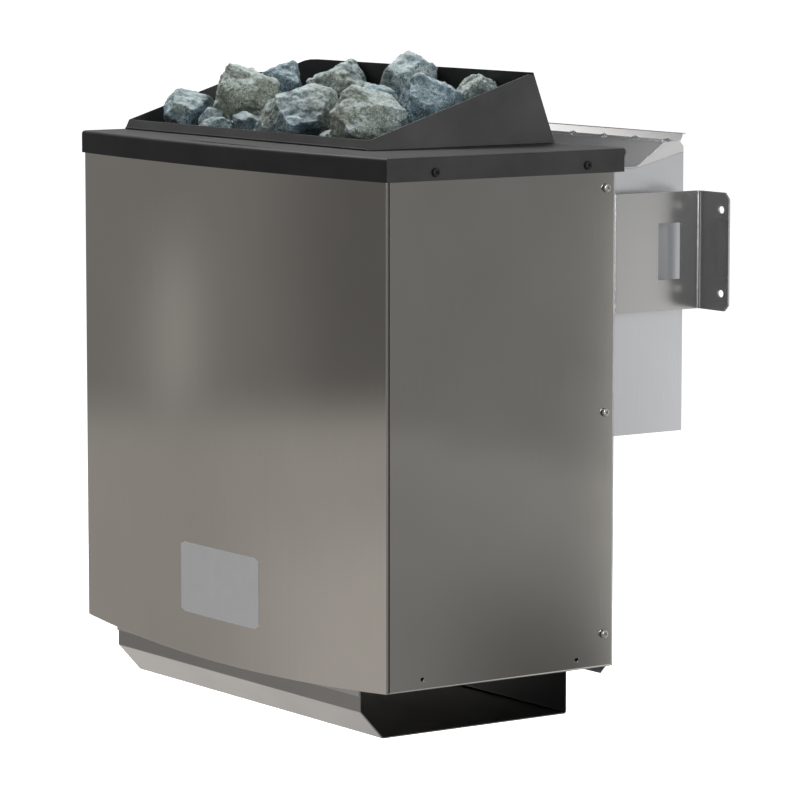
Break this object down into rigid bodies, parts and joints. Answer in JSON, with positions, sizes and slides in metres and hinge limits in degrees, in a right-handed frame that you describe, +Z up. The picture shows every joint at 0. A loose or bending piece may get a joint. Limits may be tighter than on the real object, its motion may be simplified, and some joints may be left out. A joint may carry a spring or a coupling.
{
  "type": "sauna heater stove",
  "caption": "Wall-hung sauna heater: bowed steel casing, black cap with a sloping stone guard full of stones, air tray below, steam evaporator and wall brackets behind.",
  "frame": {"origin": "on the wall plane, level with the air tray's underside and midway between the casing's sides", "axes": "+Y into the wall, +Z up, +X to the right of someone who faces the heater"},
  "size_m": [0.591, 0.3728, 0.608],
  "materials": {
    "stainless_casing": "finely ground stainless sheet with a soft satin sheen",
    "stainless_bright": "bright stainless sheet with fine upright brushing",
    "galvanised_sheet": "dull zinc-coated sheet",
    "black_coat": "matt black heat-proof powder coat",
    "heated_steel": "heat-darkened alloy steel",
    "terminal_ceramic": "unglazed steatite",
    "gland_plastic": "matt black nylon",
    "drain_brass": "turned brass",
    "zinc_screw": "zinc-plated screw",
    "sauna_stone": "broken grey-green olivine rock"
  },
  "bodies": {
    "heater": {"right_side_panel": "stainless_casing", "left_side_panel": "stainless_casing", "front_panel": "stainless_casing", "evaporator_tank": "stainless_bright", "wall_bracket_right": "stainless_bright", "wall_bracket_left": "stainless_bright", "bottom_pan": "galvanised_sheet", "air_deflector_tray": "galvanised_sheet", "heating_shaft": "galvanised_sheet", "heat_shield": "galvanised_sheet", "element_plate": "galvanised_sheet", "terminal_carrier": "galvanised_sheet", "back_panel": "galvanised_sheet", "tank_rail_lower": "galvanised_sheet", "tank_rail_upper": "galvanised_sheet", "top_cap": "black_coat", "stone_guard": "black_coat", "cap_screw_left_1": "black_coat", "cap_screw_left_2": "black_coat", "cap_screw_right_1": "black_coat", "cap_screw_right_2": "black_coat", "heating_element_1": "heated_steel", "heating_element_2": "heated_steel", "heating_element_3": "heated_steel", "stone_grate": "heated_steel", "evaporator_element": "heated_steel", "terminal_block": "terminal_ceramic", "cable_gland": "gland_plastic", "drain_stub": "drain_brass", "side_screw_left_1": "zinc_screw", "side_screw_left_2": "zinc_screw", "side_screw_left_3": "zinc_screw", "side_screw_right_1": "zinc_screw", "side_screw_right_2": "zinc_screw", "side_screw_right_3": "zinc_screw", "bracket_screw_left_1": "zinc_screw", "bracket_screw_left_2": "zinc_screw", "bracket_screw_right_1": "zinc_screw", "bracket_screw_right_2": "zinc_screw", "stone_01": "sauna_stone", "stone_02": "sauna_stone", "stone_03": "sauna_stone", "stone_04": "sauna_stone", "stone_05": "sauna_stone", "stone_06": "sauna_stone", "stone_07": "sauna_stone", "stone_08": "sauna_stone", "stone_09": "sauna_stone", "stone_10": "sauna_stone", "stone_11": "sauna_stone", "stone_12": "sauna_stone", "stone_13": "sauna_stone", "stone_14": "sauna_stone", "stone_15": "sauna_stone", "stone_16": "sauna_stone", "stone_17": "sauna_stone", "stone_18": "sauna_stone", "stone_19": "sauna_stone", "stone_20": "sauna_stone"},
    "tray": {"herb_tray": "stainless_bright"}
  },
  "joints": [
    {"name": "herb_tray_lift", "type": "slide", "parent": "heater", "child": "tray", "axis": [0, 0, 1], "range_m": [0, 0.12]}
  ]
}
